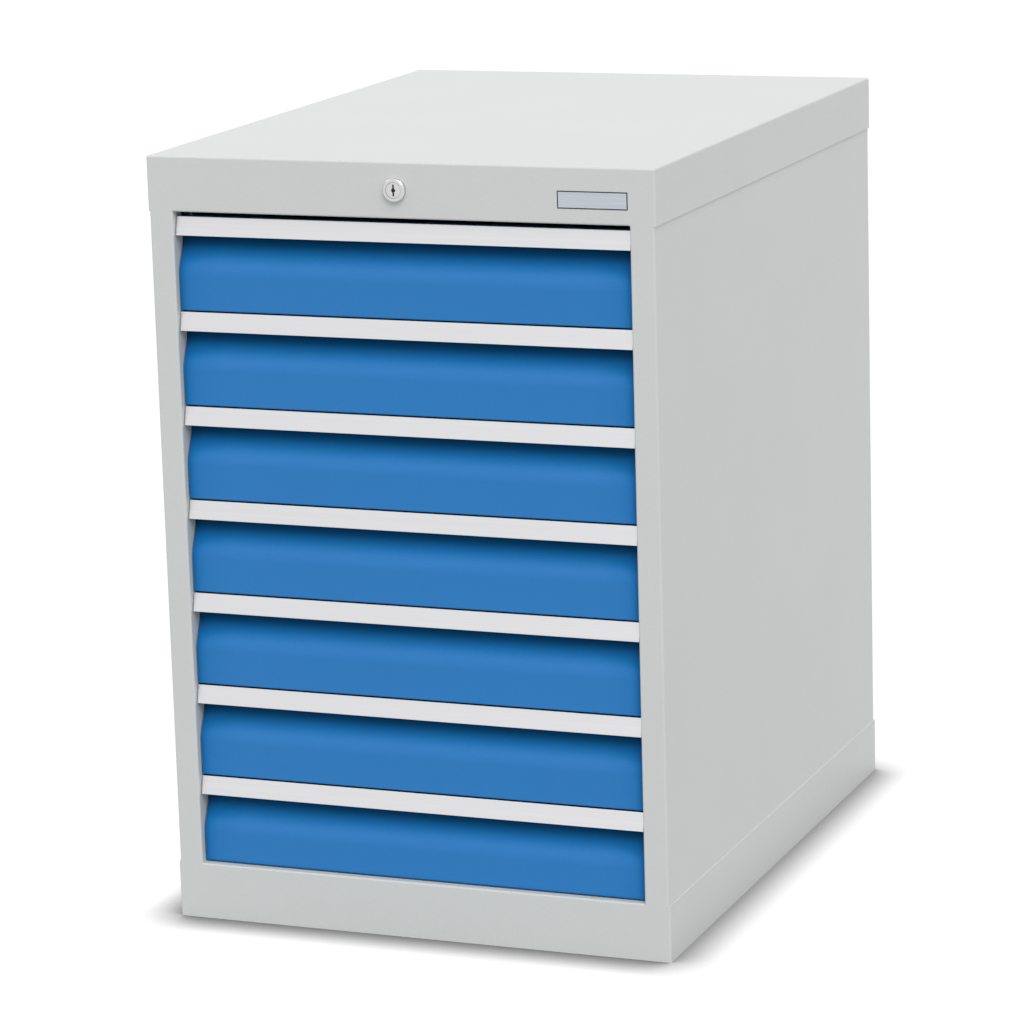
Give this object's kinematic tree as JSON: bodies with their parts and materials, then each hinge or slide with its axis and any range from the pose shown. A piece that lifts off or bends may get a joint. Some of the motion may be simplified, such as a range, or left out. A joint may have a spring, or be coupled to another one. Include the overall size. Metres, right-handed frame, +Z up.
{
  "type": "drawer cabinet",
  "caption": "Floor-standing steel drawer cabinet with shallow full-extension drawers, full-width handle strips, a plinth and a central lock.",
  "frame": {"origin": "middle of the footprint on the floor", "axes": "+X to the right when facing the drawers, +Y to the back, +Z up; drawers open along -Y"},
  "size_m": [0.555, 0.7415, 0.819],
  "materials": {
    "housing_paint": "light grey powder coat, fine satin",
    "front_paint": "light blue powder coat, fine satin",
    "tray_paint": "light grey powder coat, fine satin",
    "strip_aluminium": "pale matt anodised",
    "galvanised_steel": "zinc plated",
    "rivet_steel": "painted over with the housing",
    "roller_plastic": "dark moulded",
    "plate_plastic": "pale, bare",
    "lock_chrome": "satin plated"
  },
  "bodies": {
    "cabinet": {"top_cap": "housing_paint", "left_side_panel": "housing_paint", "right_side_panel": "housing_paint", "rear_panel": "housing_paint", "rear_rivets": "rivet_steel", "floor_panel": "housing_paint", "plinth": "housing_paint", "slotted_uprights": "galvanised_steel", "left_fixed_rails": "galvanised_steel", "right_fixed_rails": "galvanised_steel", "name_plate": "plate_plastic", "lock_housing": "lock_chrome", "lock_nut": "galvanised_steel", "lock_guides": "galvanised_steel"},
    "drawer_1": {"drawer_1_tray": "tray_paint", "drawer_1_front": "front_paint", "drawer_1_handle": "strip_aluminium", "drawer_1_rails": "galvanised_steel"},
    "carriage_1": {"drawer_1_carriages": "galvanised_steel", "drawer_1_rollers": "roller_plastic"},
    "drawer_2": {"drawer_2_tray": "tray_paint", "drawer_2_front": "front_paint", "drawer_2_handle": "strip_aluminium", "drawer_2_rails": "galvanised_steel"},
    "carriage_2": {"drawer_2_carriages": "galvanised_steel", "drawer_2_rollers": "roller_plastic"},
    "drawer_3": {"drawer_3_tray": "tray_paint", "drawer_3_front": "front_paint", "drawer_3_handle": "strip_aluminium", "drawer_3_rails": "galvanised_steel"},
    "carriage_3": {"drawer_3_carriages": "galvanised_steel", "drawer_3_rollers": "roller_plastic"},
    "drawer_4": {"drawer_4_tray": "tray_paint", "drawer_4_front": "front_paint", "drawer_4_handle": "strip_aluminium", "drawer_4_rails": "galvanised_steel"},
    "carriage_4": {"drawer_4_carriages": "galvanised_steel", "drawer_4_rollers": "roller_plastic"},
    "drawer_5": {"drawer_5_tray": "tray_paint", "drawer_5_front": "front_paint", "drawer_5_handle": "strip_aluminium", "drawer_5_rails": "galvanised_steel"},
    "carriage_5": {"drawer_5_carriages": "galvanised_steel", "drawer_5_rollers": "roller_plastic"},
    "drawer_6": {"drawer_6_tray": "tray_paint", "drawer_6_front": "front_paint", "drawer_6_handle": "strip_aluminium", "drawer_6_rails": "galvanised_steel"},
    "carriage_6": {"drawer_6_carriages": "galvanised_steel", "drawer_6_rollers": "roller_plastic"},
    "drawer_7": {"drawer_7_tray": "tray_paint", "drawer_7_front": "front_paint", "drawer_7_handle": "strip_aluminium", "drawer_7_rails": "galvanised_steel"},
    "carriage_7": {"drawer_7_carriages": "galvanised_steel", "drawer_7_rollers": "roller_plastic"},
    "lock_core": {"lock_plug": "lock_chrome", "lock_shaft": "galvanised_steel", "lock_crank": "galvanised_steel"},
    "lock_bar": {"lock_bar": "galvanised_steel"}
  },
  "joints": [
    {"name": "drawer_1_slide", "type": "slide", "parent": "cabinet", "child": "drawer_1", "axis": [0, -1, 0], "range_m": [0, 0.6]},
    {"name": "carriage_1_slide", "type": "slide", "parent": "cabinet", "child": "carriage_1", "axis": [0, -1, 0], "range_m": [0, 0.3]},
    {"name": "drawer_2_slide", "type": "slide", "parent": "cabinet", "child": "drawer_2", "axis": [0, -1, 0], "range_m": [0, 0.6]},
    {"name": "carriage_2_slide", "type": "slide", "parent": "cabinet", "child": "carriage_2", "axis": [0, -1, 0], "range_m": [0, 0.3]},
    {"name": "drawer_3_slide", "type": "slide", "parent": "cabinet", "child": "drawer_3", "axis": [0, -1, 0], "range_m": [0, 0.6]},
    {"name": "carriage_3_slide", "type": "slide", "parent": "cabinet", "child": "carriage_3", "axis": [0, -1, 0], "range_m": [0, 0.3]},
    {"name": "drawer_4_slide", "type": "slide", "parent": "cabinet", "child": "drawer_4", "axis": [0, -1, 0], "range_m": [0, 0.6]},
    {"name": "carriage_4_slide", "type": "slide", "parent": "cabinet", "child": "carriage_4", "axis": [0, -1, 0], "range_m": [0, 0.3]},
    {"name": "drawer_5_slide", "type": "slide", "parent": "cabinet", "child": "drawer_5", "axis": [0, -1, 0], "range_m": [0, 0.6]},
    {"name": "carriage_5_slide", "type": "slide", "parent": "cabinet", "child": "carriage_5", "axis": [0, -1, 0], "range_m": [0, 0.3]},
    {"name": "drawer_6_slide", "type": "slide", "parent": "cabinet", "child": "drawer_6", "axis": [0, -1, 0], "range_m": [0, 0.6]},
    {"name": "carriage_6_slide", "type": "slide", "parent": "cabinet", "child": "carriage_6", "axis": [0, -1, 0], "range_m": [0, 0.3]},
    {"name": "drawer_7_slide", "type": "slide", "parent": "cabinet", "child": "drawer_7", "axis": [0, -1, 0], "range_m": [0, 0.6]},
    {"name": "carriage_7_slide", "type": "slide", "parent": "cabinet", "child": "carriage_7", "axis": [0, -1, 0], "range_m": [0, 0.3]},
    {"name": "lock_turn", "type": "hinge", "parent": "cabinet", "child": "lock_core", "pos_m": [0, -0.368, 0.791], "axis": [0, 1, 0], "range_deg": [0, 90]},
    {"name": "lock_bar_slide", "type": "slide", "parent": "cabinet", "child": "lock_bar", "axis": [0, 0, 1], "range_m": [0, 0.01697]}
  ],
  "couplings": [
    {"joint": "carriage_1_slide", "follows": "drawer_1_slide", "ratio": 0.5},
    {"joint": "carriage_2_slide", "follows": "drawer_2_slide", "ratio": 0.5},
    {"joint": "carriage_3_slide", "follows": "drawer_3_slide", "ratio": 0.5},
    {"joint": "carriage_4_slide", "follows": "drawer_4_slide", "ratio": 0.5},
    {"joint": "carriage_5_slide", "follows": "drawer_5_slide", "ratio": 0.5},
    {"joint": "carriage_6_slide", "follows": "drawer_6_slide", "ratio": 0.5},
    {"joint": "carriage_7_slide", "follows": "drawer_7_slide", "ratio": 0.5},
    {"joint": "lock_turn", "follows": "lock_bar_slide", "rad_per_m": 92.56}
  ]
}
